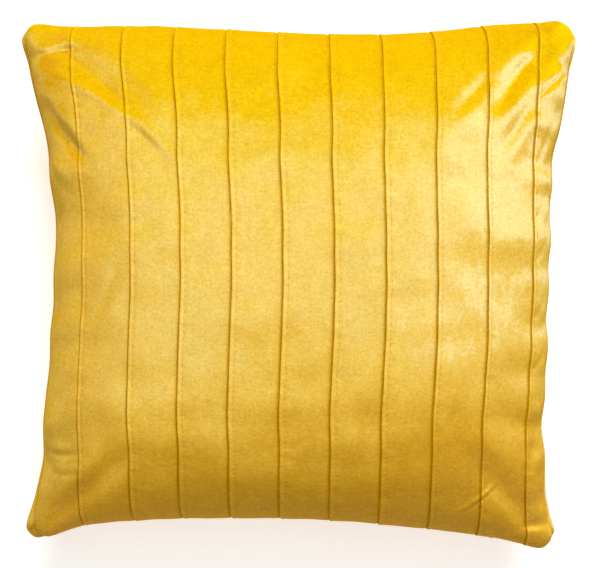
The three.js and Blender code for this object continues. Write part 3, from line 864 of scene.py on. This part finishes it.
INSERT_SCALE = (0.945, 0.925)
INSERT_HEIGHT = 0.93
INSERT_SHIFT = 4.5 * MM          # the insert sits away from the zip
INSERT_CELLS = 70
INSERT_CLEARANCE = 1.5 * MM      # and this much further under the cover, away from its seam
CASING_INSIDE = (0.99, 0.975)    # the casing's inner face against its outer, wide and high
FILLING_SCALE = 0.965


def insert_surface(cloth, side, scale=1.0, seed=31):
    """One half of the insert: the cover's own shape drawn in, with gathers at its seam."""
    points, across = read_square(cloth, crowded(INSERT_CELLS + 1, BACK_CROWDING))
    inside = from_seam(across, across.T)
    height = INSERT_HEIGHT * scale * side * (points[..., 2] - SEAM_Z)
    height -= INSERT_CLEARANCE * (1 - np.exp(-inside / (10 * MM)))
    lumps = waves(points[..., 0], points[..., 1], 40 * MM, seed=seed)
    height += 0.5 * MM * lumps * (1 - np.exp(-inside / (15 * MM)))
    points[..., 0] *= INSERT_SCALE[0] * scale
    points[..., 1] = INSERT_SCALE[1] * scale * points[..., 1] + INSERT_SHIFT
    points[..., 2] = SEAM_Z + side * np.maximum(height, SEAM_GAP / 2)
    for edge in (points[0], points[-1], points[:, 0], points[:, -1]):
        edge[:, 2] = SEAM_Z + side * SEAM_GAP / 2
    return points


def shell_piece(name, outside, inside, side):
    """A thin closed shell between two grids of the same size."""
    rows, columns = outside.shape[:2]
    count = rows * columns
    points = np.concatenate([outside.reshape(-1, 3), inside.reshape(-1, 3)])
    outer = grid_faces(rows, columns, side < 0).tolist()
    inner = (grid_faces(rows, columns, side > 0) + count).tolist()
    rim = border_indices(rows, columns)
    after = np.roll(rim, -1)
    wall = np.stack([rim, rim + count, after + count, after], 1)
    wall = (wall if side > 0 else wall[:, ::-1]).tolist()
    return smoothed(mesh_object(name, points, outer + inner + wall))


def casing(name, cloth, side):
    """One half of the insert's calico bag."""
    outside = insert_surface(cloth, side)
    inside = outside.copy()
    width, height = CASING_INSIDE
    inside[..., 0] *= width
    inside[..., 1] = width * (inside[..., 1] - INSERT_SHIFT) + INSERT_SHIFT
    inside[..., 2] = SEAM_Z + (inside[..., 2] - SEAM_Z) * height
    return shell_piece(name, outside, inside, side)


def filling_piece(front, back):
    """The loose fibre: one closed lump that fills the casing."""
    top = insert_surface(front, 1, FILLING_SCALE, seed=33)
    bottom = insert_surface(back, -1, FILLING_SCALE, seed=34)
    return shell_piece("insert_fibre_filling", top, bottom, 1)


# ---- materials ----

def linear(*colour):
    """A screen colour, each part above 10 of 255, as the linear colour that shaders take."""
    return tuple(((c / 255 + 0.055) / 1.055) ** 2.4 for c in colour) + (1,)


class Paint:
    """A material's node tree, with short calls for the nodes that the materials share."""

    def __init__(self, name, roughness, **settings):
        self.material = bpy.data.materials.new(name)
        self.material.use_nodes = True
        self.tree = self.material.node_tree
        self.shader = self.tree.nodes["Principled BSDF"]
        self.shader.inputs["Roughness"].default_value = roughness
        for socket, value in settings.items():
            self.shader.inputs[socket.replace("_", " ")].default_value = value
        self.place = self.node("ShaderNodeTexCoord").outputs["Object"]

    def node(self, kind, inputs=None, **values):
        made = self.tree.nodes.new(kind)
        for name, value in values.items():
            setattr(made, name, value)
        for socket, source in (inputs or {}).items():
            self.feed(made.inputs[socket], source)
        return made

    def feed(self, socket, source):
        if isinstance(source, bpy.types.NodeSocket):
            self.tree.links.new(source, socket)
        else:
            socket.default_value = source

    def noise(self, size, detail=3.0, roughness=0.5, stretch=(1, 1, 1), distortion=0.0):
        """Noise with lumps of about this size in metres."""
        place = self.node("ShaderNodeMapping", {"Vector": self.place, "Scale": stretch})
        inputs = {
            "Vector": place.outputs["Vector"], "Scale": 1 / size, "Detail": detail,
            "Roughness": roughness, "Distortion": distortion,
        }
        return self.node("ShaderNodeTexNoise", inputs).outputs["Fac"]

    def math(self, operation, first, second=0.0, third=None):
        inputs = {0: first, 1: second}
        if third is not None:
            inputs[2] = third
        return self.node("ShaderNodeMath", inputs, operation=operation).outputs[0]

    def fade(self, value, start, end):
        """A smooth step from 0 at start to 1 at end."""
        return self.node("ShaderNodeMapRange", {
            "Value": value, "From Min": start, "From Max": end,
        }, interpolation_type="SMOOTHSTEP").outputs["Result"]

    def ramp(self, factor, stops):
        """Colours along a factor, from pairs of a place and a linear colour."""
        made = self.node("ShaderNodeValToRGB", {"Fac": factor})
        elements = made.color_ramp.elements
        while len(elements) < len(stops):
            elements.new(0.5)
        for element, (place, colour) in zip(elements, stops):
            element.position = place
            element.color = colour
        return made.outputs["Color"]

    def mix(self, factor, first, second, blend="MIX"):
        made = self.node("ShaderNodeMix", data_type="RGBA", blend_type=blend)
        self.feed(made.inputs[0], factor)
        self.feed(made.inputs[6], first)
        self.feed(made.inputs[7], second)
        return made.outputs[2]

    def bump(self, height, distance, strength=1.0):
        made = self.node("ShaderNodeBump", {
            "Height": height, "Distance": distance, "Strength": strength,
        })
        self.tree.links.new(made.outputs["Normal"], self.shader.inputs["Normal"])

    def wave(self, direction, pitch):
        """Even ridges across one axis, a pitch apart."""
        return self.node("ShaderNodeTexWave", {
            "Vector": self.place, "Scale": 2 * math.pi / pitch / 20,
        }, bands_direction=direction).outputs["Fac"]

    def spread(self, value, amount, middle=0.0):
        """A value from 0 to 1 as one that lies within half the amount of a middle."""
        return self.math("MULTIPLY_ADD", value, amount, middle - amount / 2)

    def colour(self, source):
        self.feed(self.shader.inputs["Base Color"], source)

    def rough(self, source):
        self.feed(self.shader.inputs["Roughness"], source)


# The velvet's colour by how far the cloth turns up the pillow, from -1 to 1: partly its nap and
# partly painted light, with a painted sheen that is palest where the cloth faces straight out and
# painted shade that is browner where it turns down the pillow.
VELVET_NAP_SHEEN_AND_SHADE = (
    (-0.73, (0.70, 0.36, 0.035)),
    (-0.43, (0.66, 0.34, 0.020)),
    (-0.31, (0.72, 0.39, 0.024)),
    (-0.20, (0.82, 0.48, 0.046)),
    (-0.10, (0.88, 0.56, 0.082)),
    (0.0, (0.87, 0.60, 0.135)),
    (0.08, (0.82, 0.565, 0.080)),
    (0.15, (0.76, 0.51, 0.045)),
    (0.25, (0.72, 0.44, 0.004)),
    (0.43, (0.66, 0.38, 0.001)),
    (0.86, (0.56, 0.31, 0.001)),
)

# Where it also turns to one side: how much of a further colour, the colour, the turn to the
# right over which it comes in, and the turns up the pillow over which it comes in or goes. These
# paint a pale sheen where the cloth turns right, and painted shade, deeper and browner, where it
# turns left and where it turns down.
SIDE_SHEEN_AND_SHADE = (
    (0.9, (0.97, 0.75, 0.28), (0.0, 0.3), ((-0.05, 0.05), (0.3, 0.1))),
    (0.65, (0.74, 0.41, 0.028), (-0.12, -0.4), ()),
    (0.85, (0.64, 0.315, 0.002), (-0.12, -0.35), ((0.12, 0.32),)),
    (0.85, (0.86, 0.54, 0.001), (0.12, 0.4), ((0.12, 0.32),)),
    (0.7, (0.66, 0.39, 0.045), (-0.15, -0.45), ((0.04, -0.14),)),
    (0.28, (0.66, 0.39, 0.045), (0.15, 0.45), ((0.04, -0.14),)),
)
# painted highlight on the tucks' ridges, and painted shade in their grooves and along the seam
RIDGE_PAINTED_HIGHLIGHT = (1.08, 1.06, 1.0, 1)
GROOVE_PAINTED_SHADE = (0.55, 0.30, 0.002, 1)

# Noise that tips the pile: its size, detail, roughness, stretch and distortion, and how far.
PILE_PATCHES = (
    (45 * MM, 2.0, 0.5, (1, 0.7, 1), 0.0, 0.13),
    (15 * MM, 3.0, 0.6, (1, 0.65, 1), 0.6, 0.17),
    (3.5 * MM, 2.0, 0.6, (1, 1, 1), 0.0, 0.14),
)
# Noise that shades it: its size, detail, roughness and stretch, and how strongly.
PILE_MOTTLE = (
    (2 * MM, 3.0, 0.65, (1, 1, 1), 0.56),
    (9 * MM, 2.0, 0.5, (1, 1, 1), 0.16),
    (1.5 * MM, 1.0, 0.5, (1, 0.12, 1), 0.12),
    (1.5 * MM, 1.0, 0.5, (0.12, 1, 1), 0.12),
)
BLUE_CONTRAST = 2.5              # the shading's power in blue, which varies most in the pile


def velvet():
    """Mustard velvet, whose pile leans down the pillow, with painted sheen and painted shade:
    pale where it faces up, deeper and more golden where the cloth turns away, darker with painted
    shade in the tucks' grooves and along the seam, with crushed patches and a fine mottle."""
    paint = Paint("mustard_velvet", 0.95, Specular_IOR_Level=0.0)
    laid = paint.node("ShaderNodeAttribute", attribute_name="nap_and_painted_light").outputs["Vector"]
    parts = paint.node("ShaderNodeSeparateXYZ", {0: laid}).outputs
    sideways, lean, painted_shade_mask = parts["X"], parts["Y"], parts["Z"]
    for *look, amount in PILE_PATCHES:
        lean = paint.math("ADD", paint.spread(paint.noise(*look), amount), lean)
    # painted sheen and painted shade, by which way the cloth turns
    stops = [(0.5 + 0.5 * place, colour + (1,)) for place, colour in VELVET_NAP_SHEEN_AND_SHADE]
    painted_light_tone = paint.ramp(paint.math("MULTIPLY_ADD", lean, 0.5, 0.5), stops)
    for amount, colour, side, rises in SIDE_SHEEN_AND_SHADE:
        share = paint.math("MULTIPLY", paint.fade(sideways, *side), amount)
        for rise in rises:
            share = paint.math("MULTIPLY", share, paint.fade(lean, *rise))
        painted_light_tone = paint.mix(share, painted_light_tone, colour + (1,))
    # a painted highlight on the ridges, and painted shade in the grooves and along the seam
    ridge = paint.math("MAXIMUM", paint.math("MULTIPLY", painted_shade_mask, -1.0), 0.0)
    painted_light_tone = paint.mix(ridge, painted_light_tone, RIDGE_PAINTED_HIGHLIGHT, "MULTIPLY")
    painted_light_tone = paint.mix(paint.math("MAXIMUM", painted_shade_mask, 0.0), painted_light_tone, GROOVE_PAINTED_SHADE)
    shade = 1.0
    for *look, amount in PILE_MOTTLE:
        shade = paint.math("MULTIPLY", shade, paint.spread(paint.noise(*look), amount, 1.0))
    blue = paint.math("POWER", shade, BLUE_CONTRAST)
    speckle = paint.node("ShaderNodeCombineXYZ", {0: shade, 1: shade, 2: blue}).outputs[0]
    paint.colour(paint.mix(1.0, painted_light_tone, speckle, "MULTIPLY"))
    pile = paint.noise(0.7 * MM, 2.0, 0.6)
    tufts = paint.noise(2.6 * MM, 3.0, 0.6)
    paint.bump(paint.math("MULTIPLY_ADD", tufts, 2.2, pile), 0.16 * MM, 0.8)
    return paint.material


def darker(colour, share):
    return tuple(share * c for c in colour[:3]) + (1,)


def thread(name, colour):
    paint = Paint(name, 0.6, Specular_IOR_Level=0.2)
    strands = paint.noise(0.25 * MM, 2.0, 0.6, (1, 0.3, 1))
    paint.colour(paint.ramp(strands, ((0.3, darker(colour, 0.6)), (0.7, colour))))
    paint.bump(strands, 0.08 * MM)
    return paint.material


def woven(name, colour, pitch, contrast=0.3, roughness=0.85):
    """A plain weave of threads a pitch apart, with slubs."""
    paint = Paint(name, roughness, Sheen_Weight=0.15)
    weave = paint.math("MULTIPLY", paint.wave("X", pitch), paint.wave("Y", pitch))
    slub = paint.noise(3 * MM, 3.0, 0.6, (1, 0.2, 1))
    worn = paint.math("MULTIPLY_ADD", slub, 0.5, paint.math("MULTIPLY", weave, 0.6))
    paint.colour(paint.mix(worn, darker(colour, 1 - contrast), colour))
    paint.bump(weave, 0.2 * MM)
    return paint.material


def fibre():
    paint = Paint("fibre_filling", 0.95, Sheen_Weight=0.5)
    tufts = paint.noise(7 * MM, 5.0, 0.65, distortion=1.2)
    paint.colour(paint.ramp(tufts, ((0.3, (0.62, 0.61, 0.58, 1)), (0.7, (0.9, 0.9, 0.88, 1)))))
    paint.bump(tufts, 1.2 * MM)
    return paint.material


def nylon():
    paint = Paint("zip_coil_nylon", 0.38)
    teeth = paint.wave("X", 1.1 * MM)
    paint.colour(paint.ramp(teeth, ((0.1, linear(120, 82, 20)), (0.9, linear(206, 158, 52)))))
    paint.bump(teeth, 0.5 * MM)
    return paint.material


def brass():
    paint = Paint("zip_brass", 0.3, Metallic=1.0)
    scuffs = paint.noise(0.8 * MM, 4.0, 0.7, (1, 1, 0.15))
    paint.colour(paint.ramp(scuffs, ((0.3, (0.42, 0.27, 0.09, 1)), (0.7, (0.80, 0.58, 0.25, 1)))))
    paint.rough(paint.math("MULTIPLY_ADD", scuffs, 0.3, 0.2))
    paint.bump(scuffs, 0.03 * MM)
    return paint.material


def dress(piece, material):
    piece.data.materials.clear()
    piece.data.materials.append(material)


# ---- making it ----

front_cloth = blow_up(1)
back_cloth = blow_up(-1)

velvet_material = velvet()
thread_material = thread("mustard_thread", (0.87, 0.57, 0.06, 1))
white_thread = thread("white_thread", linear(225, 220, 208))
tape_material = woven("zip_tape_weave", linear(196, 148, 46), 0.7 * MM)
calico_material = woven("calico_weave", linear(228, 221, 203), 0.9 * MM)
label_material = woven("label_satin", linear(240, 238, 232), 0.4 * MM, 0.1, 0.45)
coil_material = nylon()
metal_material = brass()
fibre_material = fibre()

front_points, front_nap_and_painted_light, front_normals, tuck_of = front_grid(front_cloth)
front = closed_panel("front_velvet", front_points, front_nap_and_painted_light, front_cloth, 1)
back_points, back_nap_and_painted_light = back_grid(back_cloth)
back_points, back_inside = rest_on_floor(back_points), rest_on_floor(back_cloth)
back = closed_panel("back_velvet", back_points, back_nap_and_painted_light, back_inside, -1)
for piece, node in ((front, "front_panel"), (back, "back_panel")):
    dress(piece, velvet_material)
    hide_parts(node)
    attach(piece, "cover")

for number in range(1, TUCKS + 1):
    stitching = tuck_stitches(number, front_points, front_normals, tuck_of)
    dress(stitching, thread_material)
    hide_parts(f"tuck_thread_{number:02d}")
    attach(stitching, "cover")

seam = seam_stitches("edge_seam_stitching", inward(seam_line(), SEAM_THREAD_INSET), True)
dress(seam, thread_material)
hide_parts("edge_seam_thread")
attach(seam, "cover")

for name, cloth, side in (
    ("insert_calico_front", front_cloth, 1), ("insert_calico_back", back_inside, -1),
):
    half = casing(name, cloth, side)
    dress(half, calico_material)
    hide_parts("insert_casing_front" if side > 0 else "insert_casing_back")
    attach(half, "cover")

stuffing = filling_piece(front_cloth, back_inside)
dress(stuffing, fibre_material)
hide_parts("insert_filling")
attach(stuffing, "cover")

insert_line = seam_line() * np.array([*INSERT_SCALE, 0]) + np.array([0, INSERT_SHIFT, SEAM_Z])
closing = seam_stitches("insert_stitching", inward(insert_line, -INSERT_THREAD_OUTSET))
dress(closing, white_thread)
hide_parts("insert_seam_thread")
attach(closing, "cover")

finishes = {
    "coil": coil_material, "tape": tape_material, "stitching": thread_material,
    "stop": metal_material, "slider": metal_material, "pull": metal_material,
    "label": label_material,
}
for name, node in nodes.items():
    for word, material in finishes.items():
        if word in name:
            dress(node, material)
for name in ("zipper_slider", "zipper_pull"):
    faces = nodes[name].data.polygons
    faces.foreach_set("use_smooth", [False] * len(faces))


# ---- the studio ----

FLOOR_REACH = 6.0
FLOOR_GLOW = 0.45
AMBIENT_LIGHT = 0.25             # the white surroundings light the pillow less than they show
CAMERA_LENS = 113
CAMERA_PLACE = (1.2 * MM, 0, 1.56)


def floor():
    """A wide pale floor with a faint glow of its own, so that the shadow on it stays soft."""
    corners = np.array([(-1, -1, 0), (1, -1, 0), (1, 1, 0), (-1, 1, 0)]) * FLOOR_REACH
    piece = mesh_object("studio_floor", corners, [(0, 1, 2, 3)])
    paint = Paint("studio_white", 0.9, Specular_IOR_Level=0.0)
    paint.colour((0.88, 0.88, 0.88, 1))
    paint.shader.inputs["Emission Color"].default_value = (1, 1, 1, 1)
    paint.shader.inputs["Emission Strength"].default_value = FLOOR_GLOW
    piece.data.materials.append(paint.material)


def softbox(name, place, aim, size, power):
    lamp = bpy.data.lights.new(name, "AREA")
    lamp.shape = "RECTANGLE"
    lamp.size, lamp.size_y = size
    lamp.energy = power
    holder = linked(name, lamp)
    holder.location = place
    holder.rotation_euler = (Vector(aim) - Vector(place)).to_track_quat("-Z", "Y").to_euler()


floor()
softbox("key", (0.35, 2.4, 1.75), (0, 0, 0.05), (1.6, 1.2), 92)
softbox("fill", (0.1, 0.0, 2.6), (0, 0, 0), (2.6, 2.6), 22)

world = bpy.data.worlds.new("studio")
world.use_nodes = True
studio = world.node_tree
seen = studio.nodes.new("ShaderNodeLightPath").outputs["Is Camera Ray"]
level = studio.nodes.new("ShaderNodeMapRange")
level.inputs["To Min"].default_value = AMBIENT_LIGHT
level.inputs["To Max"].default_value = 1.0
studio.links.new(seen, level.inputs["Value"])
studio.links.new(level.outputs["Result"], studio.nodes["Background"].inputs["Strength"])
studio.nodes["Background"].inputs["Color"].default_value = (1, 1, 1, 1)
bpy.context.scene.world = world
bpy.context.scene.view_settings.view_transform = "Standard"

camera_data = bpy.data.cameras.new("camera")
camera_data.lens = CAMERA_LENS
camera = linked("camera", camera_data)
camera.location = CAMERA_PLACE
bpy.context.scene.camera = camera
